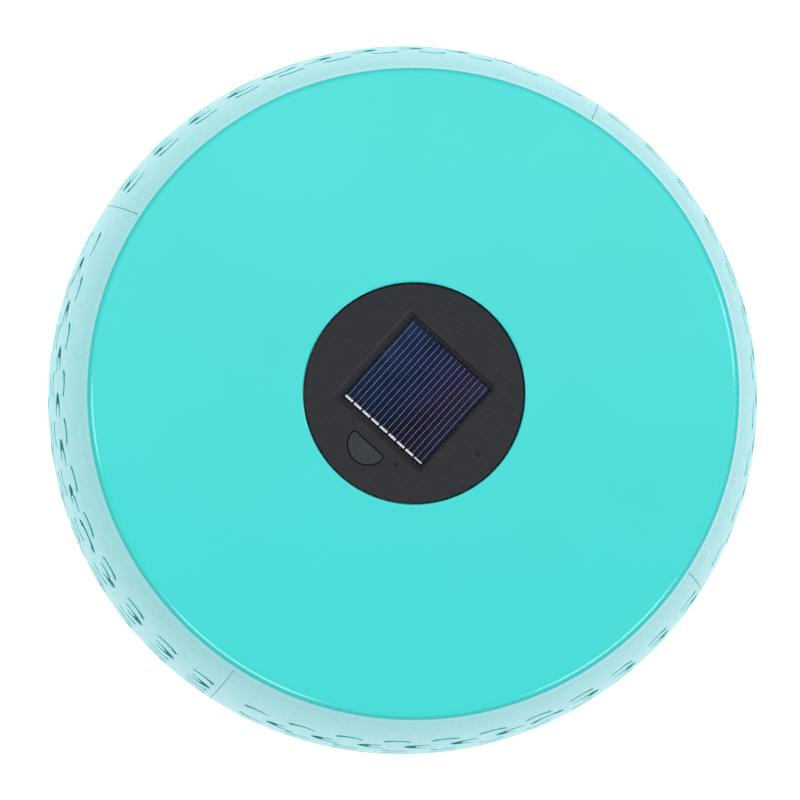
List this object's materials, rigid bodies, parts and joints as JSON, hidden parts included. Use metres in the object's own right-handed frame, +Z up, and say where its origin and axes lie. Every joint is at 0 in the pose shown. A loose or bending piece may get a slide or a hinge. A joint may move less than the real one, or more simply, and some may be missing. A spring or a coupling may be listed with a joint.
{
  "type": "solar garden stool",
  "caption": "Barrel-shaped pierced sheet-steel garden stool, enamelled turquoise, with a lift-out solar lamp unit let into its flat seat.",
  "frame": {"origin": "on the ground, on the drum's axis", "axes": "+Z up along the drum's axis; the power button is towards -X -Y"},
  "size_m": [0.34, 0.34, 0.45],
  "materials": {
    "enamelled_steel": "glossy turquoise enamel on steel sheet",
    "black_rubber": "matt",
    "charcoal_plastic": "fine moulded texture",
    "button_plastic": "satin",
    "cell_blue": "navy silicon with fine pale grid lines",
    "tinned_tab": "tinned",
    "clear_cover": "clear",
    "black_plastic": "satin",
    "board_green": "solder resist",
    "zinc_screw": "bright zinc",
    "led_epoxy": "clear",
    "frosted_lens": "frosted",
    "battery_sleeve": "printed sleeve, plain",
    "nickel_contact": "nickel plated"
  },
  "bodies": {
    "stool": {"seat_top": "enamelled_steel", "top_hoop": "enamelled_steel", "lamp_socket": "enamelled_steel", "base_hoop": "enamelled_steel", "seat_rib_1": "enamelled_steel", "seat_rib_2": "enamelled_steel", "seat_rib_3": "enamelled_steel", "seat_rib_4": "enamelled_steel", "side_panel_1": "enamelled_steel", "side_panel_2": "enamelled_steel", "side_panel_3": "enamelled_steel", "side_panel_4": "enamelled_steel", "seam_strip_1": "enamelled_steel", "seam_strip_2": "enamelled_steel", "seam_strip_3": "enamelled_steel", "seam_strip_4": "enamelled_steel", "foot_1": "black_rubber", "foot_2": "black_rubber", "foot_3": "black_rubber", "foot_4": "black_rubber"},
    "lamp_unit": {"lamp_cover": "charcoal_plastic", "lamp_gasket": "black_rubber", "solar_cell": "cell_blue", "cell_tabs": "tinned_tab", "cell_window": "clear_cover", "cell_leads": "tinned_tab", "switch_body": "black_plastic", "circuit_board": "board_green", "charge_chip": "black_plastic", "board_screws": "zinc_screw", "led": "led_epoxy", "led_lens": "frosted_lens", "lamp_housing": "charcoal_plastic", "housing_seal": "black_rubber", "housing_screws": "zinc_screw", "battery": "battery_sleeve", "contact_positive": "nickel_contact", "contact_negative": "nickel_contact"},
    "button": {"power_button": "button_plastic"},
    "plunger": {"switch_plunger": "black_plastic"},
    "battery_door": {"battery_door": "charcoal_plastic"}
  },
  "joints": [
    {"name": "lamp_lift", "type": "slide", "parent": "stool", "child": "lamp_unit", "axis": [0, 0, 1], "range_m": [0, 0.045]},
    {"name": "button_press", "type": "slide", "parent": "lamp_unit", "child": "button", "axis": [0, 0, -1], "range_m": [0, 0.0008], "stiffness_N_per_m": 600, "springref_m": -0.0008},
    {"name": "plunger_press", "type": "slide", "parent": "lamp_unit", "child": "plunger", "axis": [0, 0, -1], "range_m": [0, 0.0008]},
    {"name": "battery_door_slide", "type": "slide", "parent": "lamp_unit", "child": "battery_door", "axis": [-0.7431, 0.6691, 0], "range_m": [0, 0.03]}
  ],
  "couplings": [
    {"joint": "plunger_press", "follows": "button_press", "ratio": 1}
  ]
}
